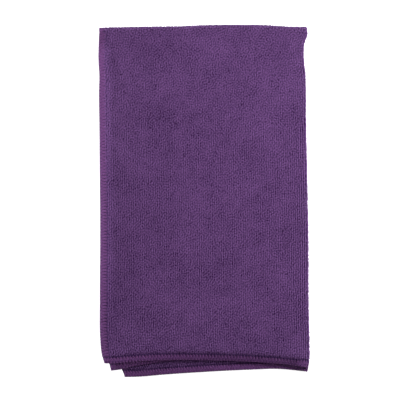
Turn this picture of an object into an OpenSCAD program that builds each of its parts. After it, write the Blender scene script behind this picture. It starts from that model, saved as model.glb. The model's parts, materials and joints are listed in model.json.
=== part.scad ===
/* [Folded towel] */
// Width of the folded towel, from the open side hems to the outside of the right fold
folded_w = 230; // [180:1:300]
// Length of the folded towel, from the lowest end hem to the outside of the top fold
folded_l = 386; // [300:1:500]
// Thickness of one ply of terry, with its loops
ply = 2.4; // [1.8:0.1:3.2]
// Air between two plies that lie on each other
ply_gap = 0.3; // [0.2:0.05:0.6]
// Clearance between a panel and the crease it folds on
crease_gap = 0.15; // [0.1:0.05:0.4]

/* [Overlocked hems] */
// Width of the overlock seam around all four edges of the towel
hem_w = 8.8; // [6:0.1:12]
// Thickness of the seam over its looper threads
cover_t = 2.0; // [1.4:0.1:2.2]
// Thickness of the cloth where the seam presses it flat
tongue_t = 1.2; // [0.8:0.1:1.4]
// Looper threads beyond the cut edge of the cloth
edge_wrap = 1.2; // [0.6:0.1:2]
// Width of one needle thread
needle_w = 0.6; // [0.4:0.1:1]
// Distance between the two needle threads of a seam
needle_spacing = 5.5; // [2:0.1:6]

/* [Loose edges] */
// Front outer quarter: side edge inset at fold and corner, end edge inset at corner and right fold
front_outer_inset = [0, 4, 16, 11]; // [0:0.5:40]
// Front inner quarter, in the same order
front_inner_inset = [2, 12, 7, 11]; // [0:0.5:40]
// Back inner quarter, in the same order
back_inner_inset = [2, 11, 15, 6]; // [0:0.5:40]
// Back outer quarter, in the same order
back_outer_inset = [0, 27, 0, 6]; // [0:0.5:40]
// Length over which a side edge pulls in towards its corner
corner_pull = 60; // [30:1:90]

/* [Hidden] */
$fn = 64;

// Height from one ply to the next, and of each ply's underside
pitch = ply + ply_gap;
back_outer_z = 0;
back_inner_z = pitch;
front_inner_z = 2 * pitch;
front_outer_z = 3 * pitch;

// Heights of the fold axes, midway between the plies they join
back_axis_z = back_inner_z - ply_gap / 2;
top_axis_z = front_inner_z - ply_gap / 2;
front_axis_z = front_outer_z - ply_gap / 2;

// Middle radius of a fold between neighbouring plies, and of the fold that wraps around it
tight_r = pitch / 2;
wrap_r = tight_r + pitch;

// Crease lines of the right folds and of the top folds, and the open edges of the box
fold_x = folded_w / 2 - tight_r - ply / 2;
fold_y = folded_l / 2 - wrap_r - ply / 2;
open_x = -folded_w / 2;
open_y = -folded_l / 2;

// Step from the face of a ply down to the flatter seam and to the pressed cloth in it
cover_z = (ply - cover_t) / 2;
tongue_z = (ply - tongue_t) / 2;

panel_right = fold_x - crease_gap;
panel_top = fold_y - crease_gap;

terry = [0.35, 0.23, 0.42];
thread = [0.31, 0.19, 0.35];
needle_thread = [0.26, 0.16, 0.31];

// Places along a quarter's open edges, from its list of insets
function side_x(inset) = open_x + inset[0];
function corner_x(inset) = open_x + inset[1];
function corner_y(inset) = open_y + inset[2];
function end_y(inset) = open_y + inset[3];
function pull_y(inset) = corner_y(inset) + corner_pull;

// Side edge where the end seam stops, and the slope of the end edge
function meet_x(inset) =
    corner_x(inset) + (side_x(inset) - corner_x(inset)) * hem_w / corner_pull;
function end_slope(inset) =
    (end_y(inset) - corner_y(inset)) / (panel_right - meet_x(inset));

// Outline of the terry inside the seams
module field_outline(inset) {
    polygon([
        [side_x(inset) + hem_w, panel_top],
        [panel_right, panel_top],
        [panel_right, end_y(inset) + hem_w],
        [meet_x(inset) + hem_w, corner_y(inset) + hem_w * (1 + end_slope(inset))],
        [side_x(inset) + hem_w, pull_y(inset)]
    ]);
}

// Outline of the cloth up to its cut edge, which lies inside the seams
module cut_outline(inset) {
    polygon([
        [side_x(inset) + edge_wrap, panel_top],
        [panel_right, panel_top],
        [panel_right, end_y(inset) + edge_wrap],
        [corner_x(inset) + edge_wrap, corner_y(inset) + edge_wrap],
        [side_x(inset) + edge_wrap, pull_y(inset)]
    ]);
}

// Strip beside the side edge, from one distance inside the edge to another
module side_strip(inset, from, to) {
    polygon([
        [side_x(inset) + from, panel_top],
        [side_x(inset) + to, panel_top],
        [side_x(inset) + to, pull_y(inset)],
        [meet_x(inset) + to, corner_y(inset) + hem_w + to * end_slope(inset)],
        [meet_x(inset) + from, corner_y(inset) + hem_w + from * end_slope(inset)],
        [side_x(inset) + from, pull_y(inset)]
    ]);
}

// Strip beside the end edge, from one distance inside the edge to another
module end_strip(inset, from, to) {
    lean = (meet_x(inset) - corner_x(inset)) / hem_w;
    polygon([
        [corner_x(inset) + from * lean, corner_y(inset) + from],
        [panel_right, end_y(inset) + from],
        [panel_right, end_y(inset) + to],
        [corner_x(inset) + to * lean, corner_y(inset) + to]
    ]);
}

// The pressed cloth that the seams hold
module tongue(inset) {
    translate([0, 0, tongue_z])
        linear_extrude(tongue_t)
            cut_outline(inset);
}

// One quarter of the terry, with its pressed edge
module quarter_cloth(inset, z) {
    color(terry)
        translate([0, 0, z])
            union() {
                linear_extrude(ply)
                    field_outline(inset);
                tongue(inset);
            }
}

// Looper threads along the side edge of one quarter
module quarter_side_overlock(inset, z) {
    color(thread)
        translate([0, 0, z])
            difference() {
                translate([0, 0, cover_z])
                    linear_extrude(cover_t)
                        side_strip(inset, 0, hem_w);
                tongue(inset);
            }
}

// Looper threads along the end edge of one quarter
module quarter_end_overlock(inset, z) {
    color(thread)
        translate([0, 0, z])
            difference() {
                translate([0, 0, cover_z])
                    linear_extrude(cover_t)
                        end_strip(inset, 0, hem_w);
                tongue(inset);
            }
}

// Height of the needle threads' underside, which lie on the towel's outer face
function needle_z(z, face_up) = z + (face_up ? ply - cover_z : 0);

// Both rows of needle threads along the side edge of one quarter
module quarter_side_needle_threads(inset, z, face_up) {
    inner = hem_w - needle_w;
    color(needle_thread)
        translate([0, 0, needle_z(z, face_up)])
            linear_extrude(cover_z)
                for (row = [inner, inner - needle_spacing])
                    side_strip(inset, row, row + needle_w);
}

// Both rows of needle threads along the end edge of one quarter
module quarter_end_needle_threads(inset, z, face_up) {
    inner = hem_w - needle_w;
    color(needle_thread)
        translate([0, 0, needle_z(z, face_up)])
            linear_extrude(cover_z)
                for (row = [inner, inner - needle_spacing])
                    end_strip(inset, row, row + needle_w);
}

// Half ring that a fold has as its profile
module fold_profile(middle_r, thickness) {
    reach = middle_r + thickness;
    difference() {
        intersection() {
            circle(r = middle_r + thickness / 2);
            translate([0, -reach])
                square([reach, 2 * reach]);
        }
        circle(r = middle_r - thickness / 2);
    }
}

// Stretch of a right fold between two heights along the towel
module right_fold(axis_z, low_y, high_y, thickness) {
    translate([fold_x, high_y, axis_z])
        rotate([90, 0, 0])
            linear_extrude(high_y - low_y)
                fold_profile(tight_r, thickness);
}

// Stretch of a top fold between two places across the towel
module top_fold(middle_r, low_x, high_x, thickness) {
    translate([low_x, fold_y, top_axis_z])
        rotate([90, 0, 90])
            linear_extrude(high_x - low_x)
                fold_profile(middle_r, thickness);
}

// Terry around a right fold, down to its cut edge
module right_fold_cloth(axis_z, low_y) {
    color(terry)
        union() {
            right_fold(axis_z, low_y + hem_w, panel_top, ply);
            right_fold(axis_z, low_y + edge_wrap, panel_top, tongue_t);
        }
}

// End seam around a right fold
module right_fold_overlock(axis_z, low_y) {
    color(thread)
        difference() {
            right_fold(axis_z, low_y, low_y + hem_w, cover_t);
            right_fold(axis_z, low_y + edge_wrap, panel_top, tongue_t);
        }
}

// Terry around a top fold, out to its cut edge
module top_fold_cloth(middle_r, low_x) {
    color(terry)
        union() {
            top_fold(middle_r, low_x + hem_w, panel_right, ply);
            top_fold(middle_r, low_x + edge_wrap, panel_right, tongue_t);
        }
}

// Side seam around a top fold
module top_fold_overlock(middle_r, low_x) {
    color(thread)
        difference() {
            top_fold(middle_r, low_x, low_x + hem_w, cover_t);
            top_fold(middle_r, low_x + edge_wrap, panel_right, tongue_t);
        }
}

// The towel's centre, where the front right fold turns over the top into the back one
module centre_fold_cloth() {
    color(terry)
        translate([fold_x, fold_y, top_axis_z])
            rotate([90, 0, 90])
                rotate([0, 0, -90])
                    rotate_extrude(angle = 180)
                        translate([pitch, 0])
                            rotate([0, 0, 90])
                                fold_profile(tight_r, ply);
}

quarter_cloth(front_outer_inset, front_outer_z);  // front_outer_cloth
quarter_side_overlock(front_outer_inset, front_outer_z);  // front_outer_side_overlock
quarter_end_overlock(front_outer_inset, front_outer_z);  // front_outer_end_overlock
quarter_side_needle_threads(front_outer_inset, front_outer_z, true);  // front_outer_side_needle_threads
quarter_end_needle_threads(front_outer_inset, front_outer_z, true);  // front_outer_end_needle_threads

quarter_cloth(front_inner_inset, front_inner_z);  // front_inner_cloth
quarter_side_overlock(front_inner_inset, front_inner_z);  // front_inner_side_overlock
quarter_end_overlock(front_inner_inset, front_inner_z);  // front_inner_end_overlock
quarter_side_needle_threads(front_inner_inset, front_inner_z, false);  // front_inner_side_needle_threads
quarter_end_needle_threads(front_inner_inset, front_inner_z, false);  // front_inner_end_needle_threads

quarter_cloth(back_inner_inset, back_inner_z);  // back_inner_cloth
quarter_side_overlock(back_inner_inset, back_inner_z);  // back_inner_side_overlock
quarter_end_overlock(back_inner_inset, back_inner_z);  // back_inner_end_overlock
quarter_side_needle_threads(back_inner_inset, back_inner_z, true);  // back_inner_side_needle_threads
quarter_end_needle_threads(back_inner_inset, back_inner_z, true);  // back_inner_end_needle_threads

quarter_cloth(back_outer_inset, back_outer_z);  // back_outer_cloth
quarter_side_overlock(back_outer_inset, back_outer_z);  // back_outer_side_overlock
quarter_end_overlock(back_outer_inset, back_outer_z);  // back_outer_end_overlock
quarter_side_needle_threads(back_outer_inset, back_outer_z, false);  // back_outer_side_needle_threads
quarter_end_needle_threads(back_outer_inset, back_outer_z, false);  // back_outer_end_needle_threads

right_fold_cloth(front_axis_z, end_y(front_outer_inset));  // right_fold_front_cloth
right_fold_overlock(front_axis_z, end_y(front_outer_inset));  // right_fold_front_overlock
right_fold_cloth(back_axis_z, end_y(back_outer_inset));  // right_fold_back_cloth
right_fold_overlock(back_axis_z, end_y(back_outer_inset));  // right_fold_back_overlock

top_fold_cloth(tight_r, side_x(front_inner_inset));  // top_fold_inner_cloth
top_fold_overlock(tight_r, side_x(front_inner_inset));  // top_fold_inner_overlock
top_fold_cloth(wrap_r, side_x(front_outer_inset));  // top_fold_outer_cloth
top_fold_overlock(wrap_r, side_x(front_outer_inset));  // top_fold_outer_overlock

centre_fold_cloth();
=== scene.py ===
import json
import math

import bpy
import numpy as np
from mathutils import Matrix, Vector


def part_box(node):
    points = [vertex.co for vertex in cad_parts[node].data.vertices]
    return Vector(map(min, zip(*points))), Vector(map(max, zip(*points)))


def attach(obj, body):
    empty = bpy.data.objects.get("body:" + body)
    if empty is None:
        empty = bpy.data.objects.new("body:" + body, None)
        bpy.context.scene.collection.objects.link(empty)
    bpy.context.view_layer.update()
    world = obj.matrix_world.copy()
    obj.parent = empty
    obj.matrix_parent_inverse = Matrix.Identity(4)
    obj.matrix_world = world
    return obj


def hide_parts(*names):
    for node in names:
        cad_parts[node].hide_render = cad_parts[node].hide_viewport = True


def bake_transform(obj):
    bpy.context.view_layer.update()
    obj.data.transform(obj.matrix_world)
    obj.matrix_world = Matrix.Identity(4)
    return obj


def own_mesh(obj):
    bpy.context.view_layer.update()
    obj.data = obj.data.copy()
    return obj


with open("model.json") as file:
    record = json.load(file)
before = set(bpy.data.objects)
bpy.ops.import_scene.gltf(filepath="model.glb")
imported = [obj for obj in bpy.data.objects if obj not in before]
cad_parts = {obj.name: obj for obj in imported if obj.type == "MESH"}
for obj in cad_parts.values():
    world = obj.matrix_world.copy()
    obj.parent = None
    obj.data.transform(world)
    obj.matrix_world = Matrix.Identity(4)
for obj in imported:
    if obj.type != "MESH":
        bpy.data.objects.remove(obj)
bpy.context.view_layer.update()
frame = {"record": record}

MM = 0.001
RANDOM_SEED = 7

# ---------------------------------------------------------------- camera
VIEW_WIDTH = 0.440  # what the frame takes in at the towel, in metres
VIEW_CENTRE = (-0.0046, 0.0008)
CAMERA_HEIGHT = 2.4
VIEW_PLANE = 0.008  # the height in the stack at which it takes that in
SENSOR_WIDTH = 36
camera_data = bpy.data.cameras.new("camera")
camera_data.sensor_width = SENSOR_WIDTH
camera_data.lens = SENSOR_WIDTH * (CAMERA_HEIGHT - VIEW_PLANE) / VIEW_WIDTH
camera = bpy.data.objects.new("camera", camera_data)
camera.location = (*VIEW_CENTRE, CAMERA_HEIGHT)
bpy.context.collection.objects.link(camera)
bpy.context.scene.camera = camera


# ---------------------------------------------------------------- sizes read from the frame
def box_mm(node):
    low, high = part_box(node)
    return np.array(low) / MM, np.array(high) / MM


def joint_mm(name):
    joints = frame["record"]["behaviour"]["joints"]
    return np.array(next(j["pos_m"] for j in joints if j["name"] == name)) / MM


QUARTERS = ("front_outer", "front_inner", "back_inner", "back_outer")
LEVEL = {q: float(np.mean([c[2] for c in box_mm(f"{q}_cloth")])) for q in QUARTERS}
PLY = float(np.ptp([c[2] for c in box_mm("front_outer_cloth")]))
SEAM = float(np.ptp([c[2] for c in box_mm("front_outer_end_overlock")]))
HEM = float(np.ptp([c[0] for c in box_mm("top_fold_outer_overlock")]))
OPEN_X = float(box_mm("front_outer_side_overlock")[0][0])
FOLD_X = float(joint_mm("lengthwise_fold_back")[0])
FOLD_Y = float(joint_mm("crosswise_fold")[1])
AXIS_Z = float(joint_mm("crosswise_fold")[2])

# ---------------------------------------------------------------- the flat cloth
CUT_W, CUT_L = 457.0, 762.0  # the towel spread flat
TIGHT_R = (LEVEL["front_outer"] - LEVEL["front_inner"]) / 2
WRAP_R = (LEVEL["front_outer"] - LEVEL["back_outer"]) / 2
U_END = CUT_W / 2 - TIGHT_R * math.pi / 2  # a quarter's cloth from side edge to right crease
V_END = {  # and from end edge to top crease
    "front_outer": CUT_L / 2 - WRAP_R * math.pi / 2,
    "front_inner": CUT_L / 2 - TIGHT_R * math.pi / 2,
    "back_inner": CUT_L / 2 - TIGHT_R * math.pi / 2,
    "back_outer": CUT_L / 2 - WRAP_R * math.pi / 2,
}
RIB = 2.4  # one wale of the knit
STITCH = 3.5
OUTER_FACE_UP = {"front_outer": True, "front_inner": False, "back_inner": True, "back_outer": False}

# How each quarter lies. "corner_x" is where the side hem meets the end hem, "end" is the end edge's Y from
# the side (0) to the right crease (1), "side" is how far the side edge stands in, from the end (0) to the
# top crease (1). The points here and in the two bows were given one by one, and corrected by the distance
# between the render's outline and the photo's.
LIE = {
    "front_outer": {
        "corner_x": -110.0,
        "end": [(0, -178.9), (0.06, -178.9), (0.12, -177.6), (0.22, -176.1), (0.48, -175.8), (0.82, -179.0),
                (1, -183.4)],
        "side": [(0, 5.0), (0.015, 3.6), (0.04, 1.8), (0.08, 0.5), (0.19, 0.1), (0.4, 0.4), (0.5, 0.2),
                 (0.6, -0.1), (0.72, -0.5), (0.82, -0.9), (0.87, -0.6), (0.92, -1.6), (1, -0.6)],
    },
    "front_inner": {
        "corner_x": -103.0,
        "end": [(0, -187.4), (0.05, -186.0), (0.1, -183.3), (0.2, -179.6), (0.3, -176.6), (0.45, -173.0),
                (0.8, -176.0), (1, -183.4)],
        "side": [(0, 12.0), (0.02, 10.6), (0.08, 7.0), (0.2, 4.0), (0.6, 2.5), (1, 2.0)],
    },
    "back_inner": {
        "corner_x": -104.0,
        "end": [(0, -172.0), (0.5, -171.0), (0.8, -176.5), (1, -188.4)],
        "side": [(0, 11.0), (0.08, 6.5), (0.2, 3.5), (0.6, 2.5), (1, 2.0)],
    },
    "back_outer": {
        "corner_x": -87.9,
        "end": [(0, -194.6), (0.09, -194.1), (0.2, -192.2), (0.42, -189.2), (0.7, -186.4), (0.84, -185.6),
                (1, -188.4)],
        "side": [(0, 27.1), (0.02, 24.8), (0.08, 12.0), (0.16, 3.0), (0.3, 1.0), (0.6, 0.5), (1, 0.4)],
    },
}
# How far the right creases stand out from their hinge line, by Y, and the top creases from theirs, by X.
RIGHT_BOW = [(-190, -0.4), (-176, 1.0), (-153, 1.1), (-130, 0.5), (-40, -0.1), (45, -1.7), (92, -2.6),
             (138, -3.2), (158, -5.0), (172, -4.6), (186, -1.0), (190, -2.4)]
TOP_BOW = [(-116, -2.0), (-60, -1.0), (-25, -0.5), (0, 0.6), (42, 1.0), (78, 0.2), (92, -0.9), (112, -1.1)]
# How much each ply rises over the slack cloth beneath it, and how far its edge sinks over thinner seams and
# shorter plies: at its loose corner, and away from it.
LIFT = {"back_outer": 0.0, "back_inner": 0.3, "front_inner": 0.7, "front_outer": 1.2}
SINK = {
    "back_outer": (0.0, 0.0),
    "back_inner": (0.8, 1.5),
    "front_inner": (3.0, 3.4),
    "front_outer": (0.9, 5.1),
}
SINK_GROWS = (15, 130)  # u + v where the droop passes from the first value to the second
SINK_RUN = (-3, 15)  # distances from the nearest open edge between which the droop fades out
HELD_BY_RIGHT = 16  # droop and gather die out over this distance from the right crease
HELD_BY_TOP = 25  # droop dies out over this distance from the top crease
GATHER = 1.3  # how far a drooping end hem draws its cloth towards the edge
GATHER_RUN = (9, 60)  # most of it at the first distance from the edge, and none at the second
SWELL_FADE = 45  # the slack's rise and fall dies out over this distance from a crease


def smooth_step(value, start, end):
    t = np.clip((value - start) / (end - start), 0, 1)
    return t * t * (3 - 2 * t)


def smooth_curve(points, at):
    """Value at each place of a smooth curve through (place, value) points."""
    place, value = np.array(points, float).T
    slope = np.gradient(value, place)
    at = np.clip(at, place[0], place[-1])
    i = np.clip(np.searchsorted(place, at, side="right") - 1, 0, len(place) - 2)
    step = place[i + 1] - place[i]
    t = (at - place[i]) / step
    low = value[i] * (1 + 2 * t) * (1 - t) ** 2 + slope[i] * step * t * (1 - t) ** 2
    high = value[i + 1] * t * t * (3 - 2 * t) + slope[i + 1] * step * t * t * (t - 1)
    return low + high


def right_crease(y):
    return FOLD_X + smooth_curve(RIGHT_BOW, y)


def top_crease(x):
    return FOLD_Y + smooth_curve(TOP_BOW, x)


CENTRE = np.array([float(right_crease(FOLD_Y)), float(top_crease(FOLD_X))])


def swell(x, y):
    """Slow rise and fall of the slack cloth, which dies out at the creases."""
    waves = 0.5 + 0.3 * np.sin(x / 31 + 1.2 * np.sin(y / 70)) + 0.2 * np.sin(y / 43 + x / 90 + 2)
    return waves * smooth_step(FOLD_X - x, 0, SWELL_FADE) * smooth_step(FOLD_Y - y, 0, SWELL_FADE)


def sink(q, u, v):
    """How far the edge of a quarter droops, away from the folds that hold it up."""
    free = smooth_step(U_END - u, 0, HELD_BY_RIGHT) * smooth_step(V_END[q] - v, 0, HELD_BY_TOP)
    at_corner, away = SINK[q]
    depth = at_corner + (away - at_corner) * smooth_step(u + v, *SINK_GROWS)
    return depth * (1 - smooth_step(np.minimum(u, v), *SINK_RUN)) * free


def gather(u, v):
    """How far the cloth is drawn towards its end edge."""
    most, none = GATHER_RUN
    fade = 1 - smooth_step(v, most, none)
    return GATHER * smooth_step(v, 0, most) * fade * smooth_step(U_END - u, 0, HELD_BY_RIGHT)


# ---------------------------------------------------------------- from the flat cloth to its folded place
def lie_on_quarter(q, u, v, off):
    """Place of quarter q's cloth at u from its side edge and v from its end edge, off above its middle."""
    lie = LIE[q]
    a, b = u / U_END, v / V_END[q]
    low_y = smooth_curve(lie["end"], 0.0)
    high_x = OPEN_X + smooth_curve(lie["side"], 1.0)
    high_y = top_crease(high_x)
    right_y = smooth_curve(lie["end"], 1.0)
    right_x = right_crease(right_y)
    left = OPEN_X + smooth_curve(lie["side"], b), low_y + (high_y - low_y) * b
    right_line = right_y + (CENTRE[1] - right_y) * b
    right = right_crease(right_line), right_line
    bottom = lie["corner_x"] + (right_x - lie["corner_x"]) * a, smooth_curve(lie["end"], a)
    top_line = high_x + (CENTRE[0] - high_x) * a
    top = top_line, top_crease(top_line)
    corners = ((lie["corner_x"], right_x, high_x, CENTRE[0]), (low_y, right_y, high_y, CENTRE[1]))
    x, y = (
        (1 - b) * bottom[k] + b * top[k] + (1 - a) * left[k] + a * right[k]
        - (1 - a) * (1 - b) * corners[k][0] - a * (1 - b) * corners[k][1]
        - (1 - a) * b * corners[k][2] - a * b * corners[k][3]
        for k in (0, 1)
    )
    z = LEVEL[q] + LIFT[q] * swell(x, y) - sink(q, u, v) + off
    return np.stack(np.broadcast_arrays(x, y - gather(u, v), z), -1)


def lie_on_right_fold(upper, lower, turn, share, off):
    """Place around a right fold: turn from -90 (lower ply) to 90 degrees (upper), share along the crease."""
    end_y = smooth_curve(LIE[upper]["end"], 1.0)
    y = end_y + (CENTRE[1] - end_y) * share
    middle = (LEVEL[upper] + LEVEL[lower]) / 2
    radius = (LEVEL[upper] - LEVEL[lower]) / 2 + off
    x = right_crease(y) + radius * np.cos(turn)
    return np.stack(np.broadcast_arrays(x, y, middle + radius * np.sin(turn)), -1)


def lie_on_top_fold(upper, lower, turn, share, off):
    """Place around a top fold: turn from -90 (lower ply) to 90 degrees (upper), share from the open side."""
    open_x = OPEN_X + smooth_curve(LIE[upper]["side"], 1.0)
    x = open_x + (CENTRE[0] - open_x) * share
    middle = (LEVEL[upper] + LEVEL[lower]) / 2
    radius = (LEVEL[upper] - LEVEL[lower]) / 2 + off
    y = top_crease(x) + radius * np.cos(turn)
    return np.stack(np.broadcast_arrays(x, y, middle + radius * np.sin(turn)), -1)


def lie_on_centre(turn, climb, off):
    """Place on the towel's centre, where the right fold's profile (turn) climbs over the top (climb)."""
    out = TIGHT_R + off
    radius = LEVEL["front_outer"] - TIGHT_R - AXIS_Z + out * np.sin(turn)
    x = CENTRE[0] + out * np.cos(turn)
    y = CENTRE[1] + radius * np.cos(climb)
    return np.stack(np.broadcast_arrays(x, y, AXIS_Z + radius * np.sin(climb)), -1)


# ---------------------------------------------------------------- pile and hem profile
PILE_DEPTH = 0.62
PILE_STEP = 0.6
PILE_GRAIN = 2.7
PILE_VARIETY = 0.22  # how much the grain's size varies, as a share
LOOP_SHARE, RIB_SHARE = 0.7, 0.3  # of the pile's depth


def pile_field(seed):
    """Rows of loops leaning at random: noise with one grain size, over the whole flat cloth."""
    rng = np.random.default_rng(seed)
    shape = (int(CUT_W / PILE_STEP) + 1, int(CUT_L / PILE_STEP) + 1)
    across = np.fft.fftfreq(shape[0], PILE_STEP)[:, None]
    along = np.fft.rfftfreq(shape[1], PILE_STEP)[None, :]
    ring = np.exp(-(((np.hypot(across, along) - 1 / PILE_GRAIN) * PILE_GRAIN / PILE_VARIETY) ** 2) / 2)
    field = np.fft.irfft2(np.fft.rfft2(rng.standard_normal(shape)) * ring, shape)
    return field / field.std()


PILE = {True: pile_field(RANDOM_SEED), False: pile_field(RANDOM_SEED + 1)}


RIBS_AT_TOP = 0.3  # how much of the ribs is left at the top creases, where the loops are ruffled
RIBS_RUFFLED = (20, 170)  # distances from those creases between which the ribs come back


def pile_sink(outer_face, u, v):
    """How far the pile's surface lies below the tops of its loops, at flat cloth coordinates."""
    field = PILE[outer_face]
    i, j = np.mod(u / PILE_STEP, field.shape[0] - 1), np.mod(v / PILE_STEP, field.shape[1] - 1)
    i0, j0 = i.astype(int), j.astype(int)
    fi, fj = i - i0, j - j0
    low = field[i0, j0] * (1 - fi) + field[i0 + 1, j0] * fi
    high = field[i0, j0 + 1] * (1 - fi) + field[i0 + 1, j0 + 1] * fi
    loops = 0.5 + 0.5 * np.tanh(low * (1 - fj) + high * fj)
    clear = RIBS_AT_TOP + (1 - RIBS_AT_TOP) * smooth_step(np.abs(v - CUT_L / 2), *RIBS_RUFFLED)
    ribs = 0.5 + 0.5 * clear * np.cos(2 * np.pi * u / RIB)
    return PILE_DEPTH * (1 - LOOP_SHARE * loops - RIB_SHARE * ribs)


PRESSED = 0.62  # half the thickness of the cloth that a seam holds
EDGE_ROUND = 1.0
CUT_EDGE = 0.4  # the cut edge lies this far inside the looper threads
NEEDLE_ROWS = (HEM - 0.3, HEM - 5.8)
NEEDLE_PULL = (0.4, 0.15)  # how far each row of stitches pulls the cloth in
PULL_WIDTH = 0.6  # and how far from the row that reaches
PRESSED_PILE = 0.12  # what the seam leaves of the pile's unevenness
THINNEST = 0.02  # least half thickness, on the cut edge
SIDE_GRIP = 0.2  # how hard the side seams pull in, as a share of the end seams
LOOPS_OVER = (1.3, 4.8)  # how far loops reach over a side seam: low down, and next to the top creases
LOOPS_SPREAD = (60, 260)  # distances from those creases between which the reach changes


def on_end(u, v):
    """1 on the end hems and 0 on the side hems."""
    return smooth_step(np.minimum(u, CUT_W - u) - np.minimum(v, CUT_L - v), -2, 2)


def grip(u, v):
    """How hard the needle threads pull in: fully on the end hems, and little on the sides."""
    return SIDE_GRIP + (1 - SIDE_GRIP) * on_end(u, v)


def standing_pile(edge, u, v):
    """0 where the seam presses the pile flat, 1 clear of it; on the sides loops stand over the needle row."""
    low, high = LOOPS_OVER
    reach = high + (low - high) * smooth_step(np.abs(v - CUT_L / 2), *LOOPS_SPREAD)
    return smooth_step(edge + reach * (1 - on_end(u, v)), HEM - 0.2, HEM + 1.7)


def edge_rounding(edge):
    """Share of its thickness that the cloth has at a distance from its rounded open edge."""
    rounding = np.clip((edge - CUT_EDGE) / EDGE_ROUND, 0, 1)
    return np.sqrt(1 - (1 - rounding) ** 2)


def half_thickness(edge, outer_face, u, v):
    """Half the cloth's thickness at a distance from the nearest open edge, on one of its faces."""
    pile = standing_pile(edge, u, v)
    uneven = PRESSED_PILE + (1 - PRESSED_PILE) * pile
    height = PRESSED + (PLY / 2 - PRESSED) * pile - pile_sink(outer_face, u, v) * uneven
    for row, depth in zip(NEEDLE_ROWS, NEEDLE_PULL):
        height = height - depth * grip(u, v) * np.exp(-(((edge - row) / PULL_WIDTH) ** 2))
    return np.maximum(height * edge_rounding(edge), THINNEST)


TUFT = 0.9  # how much more the loops stand apart where a crease opens them


def tufts(edge, outer_face, u, v, bend):
    """Uneven tips of the loops round a crease: bend is 1 on its line and 0 where it ends in flat cloth."""
    uneven = 0.5 - pile_sink(outer_face, u, v) / PILE_DEPTH
    return TUFT * uneven * standing_pile(edge, u, v) * bend


PRESSED_TONE = 0.35  # of the pile that the seam presses flat
GROOVE_SHADE = 0.3  # painted shade: how much darker the needle row's groove is
GROOVE_WIDTH = 0.8


def painted_pile_shade(edge, outer_face, u, v):
    """Painted shade of the pile: 1 on the tops of the loops, darker in the hollows between them, least in the
    needle row's groove, and a set tone where the seam presses the pile flat.
    """
    pile = standing_pile(edge, u, v)
    groove = grip(u, v) * np.exp(-(((edge - NEEDLE_ROWS[0]) / GROOVE_WIDTH) ** 2))
    tops = 1 - pile_sink(outer_face, u, v) / PILE_DEPTH
    return tops * pile + PRESSED_TONE * (1 - pile) - GROOVE_SHADE * groove


def flat_place(q, u, v):
    """Where a quarter's cloth is on the towel when it is spread flat."""
    across = u if q.endswith("outer") else CUT_W - u
    along = v if q.startswith("front") else CUT_L - v
    return across, along


# ---------------------------------------------------------------- mesh making
def make_mesh(name, points, quads, uv, material, flat_faces=None):
    """A mesh object from points in millimetres, quads, and a flat-cloth coordinate for each quad corner."""
    mesh = bpy.data.meshes.new(name)
    mesh.vertices.add(len(points))
    mesh.vertices.foreach_set("co", (np.asarray(points) * MM).astype(np.float32).ravel())
    mesh.loops.add(quads.size)
    mesh.loops.foreach_set("vertex_index", quads.astype(np.int32).ravel())
    mesh.polygons.add(len(quads))
    mesh.polygons.foreach_set("loop_start", np.arange(0, quads.size, 4, dtype=np.int32))
    layer = mesh.uv_layers.new(name="cloth")
    layer.data.foreach_set("uv", (np.asarray(uv)[quads.ravel()] * MM).astype(np.float32).ravel())
    mesh.update(calc_edges=True)
    mesh.shade_smooth()
    if flat_faces is not None:
        sharp = mesh.attributes.get("sharp_face") or mesh.attributes.new("sharp_face", "BOOLEAN", "FACE")
        sharp.data.foreach_set("value", flat_faces)
    mesh.materials.append(material)
    piece = bpy.data.objects.new(name, mesh)
    bpy.context.collection.objects.link(piece)
    return piece


def grid_quads(rows, columns, start=0, turned=False):
    index = start + np.arange(rows * columns).reshape(rows, columns)
    quads = np.stack([index[:-1, :-1], index[1:, :-1], index[1:, 1:], index[:-1, 1:]], -1).reshape(-1, 4)
    return quads[:, ::-1] if turned else quads


def make_slab(name, top, bottom):
    """A closed piece of terry from two faces that lie opposite each other: points, flat place and painted
    pile shade.
    """
    (top, top_uv, top_painted_shade), (bottom, bottom_uv, bottom_painted_shade) = top, bottom
    rows, columns = top.shape[:2]
    count = rows * columns
    index = np.arange(count).reshape(rows, columns)
    rims = [index[0], index[-1][::-1], index[:, 0][::-1], index[:, -1]]
    sides = [np.stack([r[:-1], r[1:], r[1:] + count, r[:-1] + count], -1) for r in rims]
    quads = np.concatenate([grid_quads(rows, columns), grid_quads(rows, columns, count, True)] + sides)
    flat_faces = np.zeros(len(quads), bool)
    flat_faces[2 * (rows - 1) * (columns - 1):] = True
    points = np.concatenate([top.reshape(-1, 3), bottom.reshape(-1, 3)])
    uv = np.concatenate([top_uv.reshape(-1, 2), bottom_uv.reshape(-1, 2)])
    piece = make_mesh(name, points, quads, uv, TERRY, flat_faces)
    # painted shade of the pile on each point, which the terry shader turns into colour
    tone = piece.data.attributes.new("painted_pile_shade", "FLOAT", "POINT")
    tone.data.foreach_set("value", np.concatenate([top_painted_shade.ravel(), bottom_painted_shade.ravel()]).astype(np.float32))
    return piece


TUBE_SIDES = 6
TIP = 0.35  # a thread's thickness at its ends, as a share


def tube_points(paths, ups, half_width, half_height):
    """Rings of points round each of several paths of the same length; the ends taper shut."""
    forward = np.gradient(paths, axis=1)
    forward /= np.linalg.norm(forward, axis=-1, keepdims=True) + 1e-12
    across = np.cross(forward, ups)
    across /= np.linalg.norm(across, axis=-1, keepdims=True) + 1e-12
    up = np.cross(across, forward)
    taper = np.ones(paths.shape[1])
    taper[[0, -1]] = TIP
    angle = np.arange(TUBE_SIDES) * 2 * np.pi / TUBE_SIDES
    wide = half_width * np.cos(angle)[None, None, :, None] * taper[None, :, None, None]
    high = half_height * np.sin(angle)[None, None, :, None] * taper[None, :, None, None]
    return paths[:, :, None] + across[:, :, None] * wide + up[:, :, None] * high


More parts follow.
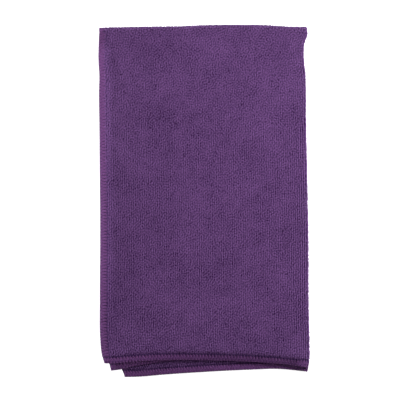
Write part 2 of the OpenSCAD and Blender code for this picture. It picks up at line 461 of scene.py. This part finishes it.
def make_tubes(name, groups, material):
    """Threads: groups are (paths, ups, half_width, half_height), each path a row of points."""
    points, quads, uvs, start = [], [], [], 0
    for paths, ups, half_width, half_height in groups:
        rings = tube_points(paths, ups, half_width, half_height)
        count, length, sides = rings.shape[:3]
        index = start + np.arange(count * length * sides).reshape(count, length, sides)
        around = np.roll(index, -1, axis=2)
        wall = np.stack([index[:, :-1], around[:, :-1], around[:, 1:], index[:, 1:]], -1).reshape(-1, 4)
        ends = [
            np.concatenate([
                np.stack([ring[:, 0], ring[:, 1], ring[:, 2], ring[:, 3]], -1)[:, ::order],
                np.stack([ring[:, 0], ring[:, 3], ring[:, 4], ring[:, 5]], -1)[:, ::order],
            ])
            for ring, order in ((index[:, 0], -1), (index[:, -1], 1))
        ]
        quads += [wall] + ends
        run = np.linalg.norm(np.diff(paths, axis=1), axis=-1)
        along = np.concatenate([np.zeros((count, 1)), np.cumsum(run, axis=1)], axis=1)
        uv = np.zeros((count, length, sides, 2))
        uv[..., 0] = along[:, :, None]
        uv[..., 1] = np.arange(sides)[None, None, :] / sides * 2 * half_width
        points.append(rings.reshape(-1, 3))
        uvs.append(uv.reshape(-1, 2))
        start += count * length * sides
    return make_mesh(name, np.concatenate(points), np.concatenate(quads), np.concatenate(uvs), material)


# ---------------------------------------------------------------- materials
class Shader:
    """Short hand for a material's node tree."""

    def __init__(self, name):
        self.material = bpy.data.materials.new(name)
        self.material.use_nodes = True
        self.tree = self.material.node_tree
        self.surface = self.tree.nodes["Principled BSDF"]

    def add(self, kind, inputs=None, **settings):
        node = self.tree.nodes.new(kind)
        for key, value in settings.items():
            setattr(node, key, value)
        for key, value in (inputs or {}).items():
            if isinstance(value, bpy.types.NodeSocket):
                self.tree.links.new(value, node.inputs[key])
            else:
                node.inputs[key].default_value = value
        return node

    def math(self, operation, *values):
        return self.add("ShaderNodeMath", dict(enumerate(values)), operation=operation).outputs[0]

    def total(self, first, *rest):
        for value in rest:
            first = self.math("ADD", first, value)
        return first

    def noise(self, place, scale, detail):
        return self.add("ShaderNodeTexNoise", {"Vector": place, "Scale": scale, "Detail": detail},
                        noise_dimensions="2D").outputs[0]

    def patches(self, place, scale, strength):
        """Noise around its middle, so that it lightens as much as it darkens."""
        return self.math("MULTIPLY", self.math("SUBTRACT", self.noise(place, scale, 2), 0.5), strength)

    def ribs(self, across, wobble, reach):
        """The wales of the knit: 1 on a rib and -1 between two."""
        moved = self.math("ADD", across, self.math("MULTIPLY", wobble, reach))
        return self.math("COSINE", self.math("MULTIPLY", moved, 2 * math.pi / (RIB * MM)))

    def matt_fibre(self, roughness, sheen):
        self.surface.inputs["Roughness"].default_value = roughness
        self.surface.inputs["Specular IOR Level"].default_value = 0.1
        self.surface.inputs["Sheen Weight"].default_value = sheen
        self.surface.inputs["Sheen Roughness"].default_value = 0.4
        self.surface.inputs["Sheen Tint"].default_value = linear(190, 145, 220)

    def link(self, output, socket):
        self.tree.links.new(output, self.surface.inputs[socket])


def linear(*srgb):
    """A colour from 0 to 255 sRGB values, as the shader takes it."""
    parts = [c / 255 for c in srgb]
    return tuple(c / 12.92 if c <= 0.04045 else ((c + 0.055) / 1.055) ** 2.4 for c in parts) + (1,)


LOOP_CELLS = 640  # about this many loops in a metre across the wales
LOOP_SQUIGGLE = 0.0035  # metres
RIB_WOBBLE = 0.0008  # metres
RIB_RELIEF = (0.2, 0.04)  # on the right crease, which opens the ribs, and away from it
RIB_RELIEF_REACH = 0.022  # metres
LOOP_RELIEF, FIBRE_RELIEF = 0.3, 0.4
PILE_SHADE_PAINT = 0.64  # painted light and shade: how much lighter the tops of the modelled loops are than their hollows
BROAD_PATCHES, SMALL_PATCHES = (24, 0.21), (95, 0.12)  # scale and strength of uneven tone
PILE_BUMP = 0.0013  # metres


def terry_material():
    """Looped microfibre pile: short loops squiggle along the wales; painted shade darkens the colour in the
    hollows between the loops and in the grooves of the ribs.
    """
    s = Shader("terry")
    cloth = s.add("ShaderNodeUVMap", uv_map="cloth").outputs[0]
    split = s.add("ShaderNodeSeparateXYZ", {0: cloth})
    ribs = s.ribs(split.outputs[0], s.noise(cloth, 200, 1), RIB_WOBBLE)
    from_crease = s.math("ABSOLUTE", s.math("SUBTRACT", split.outputs[0], CUT_W / 2 * MM))
    on_crease, away = RIB_RELIEF
    opened = s.add("ShaderNodeMapRange", {0: from_crease, 1: 0.0, 2: RIB_RELIEF_REACH, 3: on_crease,
                                          4: away}).outputs[0]
    along = s.math("MODULO", split.outputs[1], CUT_L * MM)
    from_top = s.math("ABSOLUTE", s.math("SUBTRACT", along, CUT_L / 2 * MM))
    near, far = (distance * MM for distance in RIBS_RUFFLED)
    clear = s.add("ShaderNodeMapRange", {0: from_top, 1: near, 2: far, 3: RIBS_AT_TOP, 4: 1.0}).outputs[0]
    opened = s.math("MULTIPLY", opened, clear)
    curl = s.add("ShaderNodeTexNoise", {"Vector": cloth, "Scale": 300, "Detail": 0}, noise_dimensions="2D")
    squiggle = (LOOP_SQUIGGLE, LOOP_SQUIGGLE, 0)
    bent = s.add("ShaderNodeVectorMath", {0: curl.outputs[1], 1: squiggle}, operation="MULTIPLY")
    bent = s.add("ShaderNodeVectorMath", {0: cloth, 1: bent.outputs[0]}, operation="ADD")
    bent = s.add("ShaderNodeVectorMath", {0: bent.outputs[0], 1: (1, 0.75, 1)}, operation="MULTIPLY")
    cells = s.add("ShaderNodeTexVoronoi", {"Vector": bent.outputs[0], "Scale": LOOP_CELLS},
                  voronoi_dimensions="2D", feature="F1")
    loops = s.math("SUBTRACT", 1.0, s.math("MULTIPLY", cells.outputs["Distance"], 1.1))
    height = s.total(s.math("MULTIPLY", loops, LOOP_RELIEF), s.math("MULTIPLY", ribs, opened),
                     s.math("MULTIPLY", s.noise(cloth, 1300, 2), FIBRE_RELIEF))
    tops = s.add("ShaderNodeAttribute", attribute_name="painted_pile_shade").outputs["Fac"]
    # painted shade: the relief's hollows, the rib grooves and the pile's painted shade darken the colour, as
    # their shade would
    tone = s.total(height, s.math("MULTIPLY", tops, PILE_SHADE_PAINT), s.patches(cloth, *BROAD_PATCHES),
                   s.patches(cloth, *SMALL_PATCHES))
    ramp = s.add("ShaderNodeValToRGB", {0: tone})
    ramp.color_ramp.elements[0].position = 0.3
    ramp.color_ramp.elements[0].color = linear(27, 4, 44)
    ramp.color_ramp.elements[1].position = 1.0
    ramp.color_ramp.elements[1].color = linear(105, 71, 122)
    s.link(ramp.outputs[0], "Base Color")
    bump = s.add("ShaderNodeBump", {"Height": height, "Strength": 1.0, "Distance": PILE_BUMP})
    s.link(bump.outputs[0], "Normal")
    s.matt_fibre(roughness=0.95, sheen=0.14)
    return s.material


THREAD_TWIST = 0.0008  # metres to a turn
THREAD_SLANT = 1.6  # how steeply its plies wind


def thread_material(name, dark, light):
    """Fluffy twisted polyester thread: plies wind round it, with fibre noise."""
    s = Shader(name)
    place = s.add("ShaderNodeUVMap", uv_map="cloth").outputs[0]
    split = s.add("ShaderNodeSeparateXYZ", {0: place})
    run = s.math("ADD", split.outputs[0], s.math("MULTIPLY", split.outputs[1], THREAD_SLANT))
    twist = s.math("SINE", s.math("MULTIPLY", run, 2 * math.pi / THREAD_TWIST))
    fibres = s.add("ShaderNodeTexNoise", {"Vector": place, "Scale": 2600, "Detail": 2}, noise_dimensions="2D")
    tone = s.math("ADD", s.math("MULTIPLY", twist, 0.25), fibres.outputs[0])
    ramp = s.add("ShaderNodeValToRGB", {0: tone})
    ramp.color_ramp.elements[0].position = 0.2
    ramp.color_ramp.elements[0].color = dark
    ramp.color_ramp.elements[1].position = 0.8
    ramp.color_ramp.elements[1].color = light
    s.link(ramp.outputs[0], "Base Color")
    bump = s.add("ShaderNodeBump", {"Height": tone, "Strength": 0.6, "Distance": 0.0003})
    s.link(bump.outputs[0], "Normal")
    s.matt_fibre(roughness=0.85, sheen=0.2)
    return s.material


TERRY = terry_material()
LOOPER = thread_material("looper_thread", linear(63, 31, 71), linear(113, 70, 124))
NEEDLE = thread_material("needle_thread", linear(40, 17, 60), linear(66, 37, 90))

# ---------------------------------------------------------------- quarters of terry
U_STEP, V_STEP = 0.6, 0.9
EDGE_LINES = [CUT_EDGE, 0.45, 0.6, 0.85, 1.15, 1.4]
EVEN_FROM = 1.8  # the lines are evenly spaced from here on


def lines(step, end):
    """Grid lines across a quarter: close together where the cut edge is rounded."""
    return np.concatenate([EDGE_LINES, np.linspace(EVEN_FROM, end, int((end - EVEN_FROM) / step) + 1)])


def terry_face(points, edge, outer_face, across, along):
    """One face of a piece of terry: its points, where they are on the flat cloth, and their painted pile
    shade.
    """
    flat = np.stack([across, along + (0 if outer_face else CUT_L)], -1)
    return points, flat, painted_pile_shade(edge, outer_face, across, along)


def quarter_face(q, up):
    u, v = np.meshgrid(lines(U_STEP, U_END), lines(V_STEP, V_END[q]), indexing="ij")
    outer_face = OUTER_FACE_UP[q] == up
    across, along = flat_place(q, u, v)
    height = half_thickness(np.minimum(u, v), outer_face, across, along)
    points = lie_on_quarter(q, u, v, height if up else -height)
    return terry_face(points, np.minimum(u, v), outer_face, across, along)


def make_quarter(q):
    piece = make_slab(f"{q}_terry", quarter_face(q, True), quarter_face(q, False))
    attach(piece, q)
    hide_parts(f"{q}_cloth")
    return piece


quarter_pieces = {q: make_quarter(q) for q in QUARTERS}

# ---------------------------------------------------------------- folds of terry
FOLD_INSIDE = 1.1  # half the thickness inside a fold, where the pile is crushed
FOLD_SLACK = 0.3  # how much thicker than flat cloth the crushed side may be
TIGHT_TURNS, WRAP_TURNS = 12, 14  # points round a tight fold, and round each half of the outer one


def blend_at(piece):
    """Bakes the piece's place into its points."""
    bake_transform(piece)


def fold_turns(count, start=-90.0, end=90.0):
    return np.radians(np.linspace(start, end, count))


def crushed_side(edge, outer_face, across, along):
    """Half the thickness on the inside of a fold."""
    flat = half_thickness(edge, outer_face, across, along)
    return np.minimum(FOLD_INSIDE, flat + FOLD_SLACK) * edge_rounding(edge)


def make_right_fold(name, upper, lower):
    shares = lines(V_STEP, V_END[upper]) / V_END[upper]
    turn, share = np.meshgrid(fold_turns(TIGHT_TURNS), shares, indexing="ij")
    across = CUT_W / 2 - turn * TIGHT_R
    v = share * V_END[upper]
    along = v if upper.startswith("front") else CUT_L - v
    height = half_thickness(v, True, across, along) + tufts(v, True, across, along, np.cos(turn))
    inside = crushed_side(v, False, across, along)
    outer = lie_on_right_fold(upper, lower, turn, share, height)
    inner = lie_on_right_fold(upper, lower, turn, share, -inside)
    piece = make_slab(f"{name}_terry", terry_face(outer, v, True, across, along),
                      terry_face(inner, v, False, across, along))
    blend_at(piece)
    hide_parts(f"{name}_cloth")


make_right_fold("right_fold_front", "front_outer", "front_inner")
make_right_fold("right_fold_back", "back_inner", "back_outer")


def top_fold_slab(name, upper, lower, turns, radius, outer_face):
    shares = lines(U_STEP, U_END) / U_END
    share, turn = np.meshgrid(shares, turns, indexing="ij")
    u = share * U_END
    across = u if upper.endswith("outer") else CUT_W - u
    along = CUT_L / 2 - turn * radius
    height = half_thickness(u, outer_face, across, along) + tufts(u, outer_face, across, along, np.cos(turn))
    inside = crushed_side(u, not outer_face, across, along)
    outer = lie_on_top_fold(upper, lower, turn, share, height)
    inner = lie_on_top_fold(upper, lower, turn, share, -inside)
    return make_slab(name, terry_face(inner, u, not outer_face, across, along),
                     terry_face(outer, u, outer_face, across, along))


def make_inner_top_fold():
    turns = fold_turns(TIGHT_TURNS)
    piece = top_fold_slab("top_fold_inner_terry", "front_inner", "back_inner", turns, TIGHT_R, False)
    blend_at(piece)
    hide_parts("top_fold_inner_cloth")


def flatten_on_right_folds(piece, q):
    """Lets half of the outer top fold ride on its own ply, and gives it a mesh of its own."""
    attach(piece, q)
    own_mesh(piece)


def make_outer_top_fold():
    for q, start, end in (("back_outer", -90, 0), ("front_outer", 0, 90)):
        side = "lower" if q.startswith("back") else "upper"
        piece = top_fold_slab(f"top_fold_outer_{side}_terry", "front_outer", "back_outer",
                              fold_turns(WRAP_TURNS, start, end), WRAP_R, True)
        flatten_on_right_folds(piece, q)
        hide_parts("top_fold_outer_cloth")


def make_centre():
    for q, start, end in (("back_inner", -90, 0), ("front_inner", 0, 90)):
        side = "lower" if q.startswith("back") else "upper"
        turns, climbs = fold_turns(TIGHT_TURNS), fold_turns(WRAP_TURNS, start, end)
        turn, climb = np.meshgrid(turns, climbs, indexing="ij")
        across = CUT_W / 2 - turn * TIGHT_R
        along = CUT_L / 2 - climb * WRAP_R
        inland = np.full_like(turn, CUT_W)
        bend = 1 - (1 - np.cos(turn)) * (1 - np.cos(climb))
        height = half_thickness(inland, True, across, along) + tufts(inland, True, across, along, bend)
        outer = lie_on_centre(turn, climb, height)
        inner = lie_on_centre(turn, climb, np.full_like(turn, -FOLD_INSIDE))
        piece = make_slab(f"centre_fold_{side}_terry", terry_face(inner, inland, False, across, along),
                          terry_face(outer, inland, True, across, along))
        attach(piece, q)
        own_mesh(piece)
        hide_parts("centre_fold_cloth")


make_inner_top_fold()
make_outer_top_fold()
make_centre()

# ---------------------------------------------------------------- overlock seams
LOOPER_W, LOOPER_H = 0.8, 0.26
NEEDLE_W, NEEDLE_H = 0.30, 0.24
COVER = SEAM / 2 - LOOPER_H  # how far the looper threads lie from the middle of the cloth
STITCH_DIVE = 0.45  # how far the ends of a needle stitch go into the cloth
END_INSET = 0.6  # an end seam starts this far inside the side edge
END_LIFT = 0.28  # how far the end seams' needle stitches stand over the pressed cloth


def on_quarter(q, kind):
    """Places a seam's threads on a quarter, by their run along the seam and their way in from the edge."""
    if kind == "side":
        return lambda along, inward, off: lie_on_quarter(q, inward, along, off)
    return lambda along, inward, off: lie_on_quarter(q, along, inward, off)


def on_right_fold(upper, lower):
    return lambda along, inward, off: lie_on_right_fold(
        upper, lower, math.pi / 2 - along / TIGHT_R, inward / V_END[upper], off)


def on_top_fold(upper, lower, radius):
    return lambda along, inward, off: lie_on_top_fold(
        upper, lower, math.pi / 2 - along / radius, inward / U_END, off)


NUDGE = 0.1  # the little step by which directions on the cloth are found
WRAP_REACH = 1.5  # a thread turns outwards this close to the edge


def thread(place, along, inward, off, half_width, half_height):
    """A thread's path and the way its flat side faces: off the cloth, or outwards where it wraps the edge."""
    normal = place(along, inward, off + NUDGE) - place(along, inward, off - NUDGE)
    outward = place(along, inward - NUDGE, off) - place(along, inward + NUDGE, off)
    wrap = np.clip(WRAP_REACH - inward, 0, None)[..., None]
    facing = normal * (off / COVER)[..., None] + outward * wrap
    return place(along, inward, off), facing, half_width, half_height


def looper_thread(place, start, end, face, phase):
    """One looper thread's zigzag, from the needle line to the cut edge and round its tip."""
    stitch = np.array([  # share of the stitch, way in from the edge, height as a share of COVER
        (0.00, HEM - 0.7, 1.0), (0.12, HEM - 2.6, 1.0), (0.27, HEM - 5.6, 1.0), (0.40, 1.5, 1.0),
        (0.46, 0.45, 0.75), (0.52, 0.1, 0.0), (0.58, 0.45, 0.75), (0.64, 1.5, 1.0),
        (0.77, HEM - 5.6, 1.0), (0.90, HEM - 2.6, 1.0),
    ])
    count = int((end - start) / STITCH) + 2
    along = ((np.arange(count)[:, None] + stitch[None, :, 0] + phase - 1) * STITCH + start).ravel()
    keep = (along >= start) & (along <= end)
    inward, height = (np.tile(stitch[:, k], count)[keep][None] for k in (1, 2))
    return thread(place, along[keep][None], inward, height * COVER * face, LOOPER_W, LOOPER_H)


def needle_stitches(place, start, end, face, outer_face, lift):
    """Both rows of needle stitches on one face: long stitches on the outer face, short ones on the other."""
    run, arch = (2.3, 0.12) if outer_face else (1.3, 0.08)
    bend = np.linspace(-1, 1, 6)
    rows = []
    for number, row in enumerate(NEEDLE_ROWS):
        middles = np.arange(start + STITCH * (0.5 + 0.3 * number), end - STITCH / 2, STITCH)
        along = middles[:, None] + run / 2 * bend[None, :]
        rise = PRESSED + lift + arch - STITCH_DIVE * bend**4
        off = face * np.broadcast_to(rise, along.shape)
        rows.append(thread(place, along, np.full_like(along, row), off, NEEDLE_W, NEEDLE_H))
    return rows


def seam_run(q, kind):
    """Where a quarter's seam starts and ends: the side seam starts inside the corner, where the other is."""
    return (HEM, V_END[q]) if kind == "side" else (END_INSET, U_END)


def both_loopers(place, start, end):
    """The looper threads of both faces, whose zigzags are shifted by half a stitch."""
    return [looper_thread(place, start, end, face, 0.3 + 0.25 * face) for face in (1, -1)]


def make_seam(q, kind):
    loopers = both_loopers(on_quarter(q, kind), *seam_run(q, kind))
    piece = make_tubes(f"{q}_{kind}_seam", loopers, LOOPER)
    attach(piece, q)
    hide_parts(f"{q}_{kind}_overlock")
    return piece


def make_needle_rows(q, kind):
    start, end = seam_run(q, kind)
    lift = END_LIFT if kind == "end" else 0.0
    rows = []
    for face in (1, -1):
        rows += needle_stitches(on_quarter(q, kind), start, end, face, OUTER_FACE_UP[q] == (face > 0), lift)
    piece = make_tubes(f"{q}_{kind}_stitches", rows, NEEDLE)
    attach(piece, q)
    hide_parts(f"{q}_{kind}_needle_threads")
    return piece


def make_fold_seam(name, place, start, end):
    """The seam where it goes round a fold."""
    piece = make_tubes(name, both_loopers(place, start, end), LOOPER)
    return piece


def make_fold_seams():
    tight, wide = math.pi * TIGHT_R, math.pi * WRAP_R
    for name, upper, lower in (("right_fold_front", "front_outer", "front_inner"),
                               ("right_fold_back", "back_inner", "back_outer")):
        piece = make_fold_seam(f"{name}_seam", on_right_fold(upper, lower), 0, tight)
        blend_at(piece)
        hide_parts(f"{name}_overlock")
    piece = make_fold_seam("top_fold_inner_seam", on_top_fold("front_inner", "back_inner", TIGHT_R), 0, tight)
    blend_at(piece)
    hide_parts("top_fold_inner_overlock")
    around = on_top_fold("front_outer", "back_outer", WRAP_R)
    for q, side, start, end in (("front_outer", "upper", 0, wide / 2),
                                ("back_outer", "lower", wide / 2, wide)):
        piece = make_fold_seam(f"top_fold_outer_{side}_seam", around, start, end)
        flatten_on_right_folds(piece, q)
        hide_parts("top_fold_outer_overlock")


seams = {(q, kind): make_seam(q, kind) for q in QUARTERS for kind in ("side", "end")}
stitches = {(q, kind): make_needle_rows(q, kind) for q in QUARTERS for kind in ("side", "end")}
make_fold_seams()

# ---------------------------------------------------------------- floor and light
FLOOR_HALF = 3.0
FLOOR_GAP = 0.0002  # metres under the towel
FLOOR_GLOW = 0.75  # lifts the white floor to the photo's plain white
floor_corners = [(x * FLOOR_HALF, y * FLOOR_HALF, 0) for x, y in ((-1, -1), (1, -1), (1, 1), (-1, 1))]
mesh = bpy.data.meshes.new("floor")
mesh.from_pydata(floor_corners, [], [(0, 1, 2, 3)])
floor = bpy.data.objects.new("floor", mesh)
floor.location.z = -FLOOR_GAP
bpy.context.collection.objects.link(floor)
white = Shader("floor_white")
white.surface.inputs["Base Color"].default_value = (0.9, 0.9, 0.9, 1)
white.surface.inputs["Roughness"].default_value = 0.9
white.surface.inputs["Emission Color"].default_value = (1, 1, 1, 1)
white.surface.inputs["Emission Strength"].default_value = FLOOR_GLOW
floor.data.materials.append(white.material)


def add_area_light(name, place, size, power):
    data = bpy.data.lights.new(name, "AREA")
    data.shape = "RECTANGLE"
    data.size, data.size_y = size
    data.energy = power
    light = bpy.data.objects.new(name, data)
    light.location = place
    direction = -light.location
    light.rotation_euler = direction.to_track_quat("-Z", "Y").to_euler()
    bpy.context.collection.objects.link(light)


# name, place and size in metres, power in watts
add_area_light("key_top", (0.2, 0.6, 1.9), (0.9, 0.5), 7.5)
add_area_light("low_top", (0.2, 1.5, 1.25), (1.0, 0.4), 13.5)
add_area_light("right", (0.5, 0.22, 0.45), (0.25, 0.25), 3.4)
add_area_light("low_left", (-1.45, 0.5, 0.22), (0.8, 0.2), 48)
add_area_light("low_right", (1.45, -0.2, 0.22), (0.8, 0.2), 20)

world = bpy.data.worlds.new("studio")
world.use_nodes = True
world.node_tree.nodes["Background"].inputs["Color"].default_value = (1, 1, 1, 1)
world.node_tree.nodes["Background"].inputs["Strength"].default_value = 0.13
bpy.context.scene.world = world
bpy.context.scene.view_settings.view_transform = "Standard"
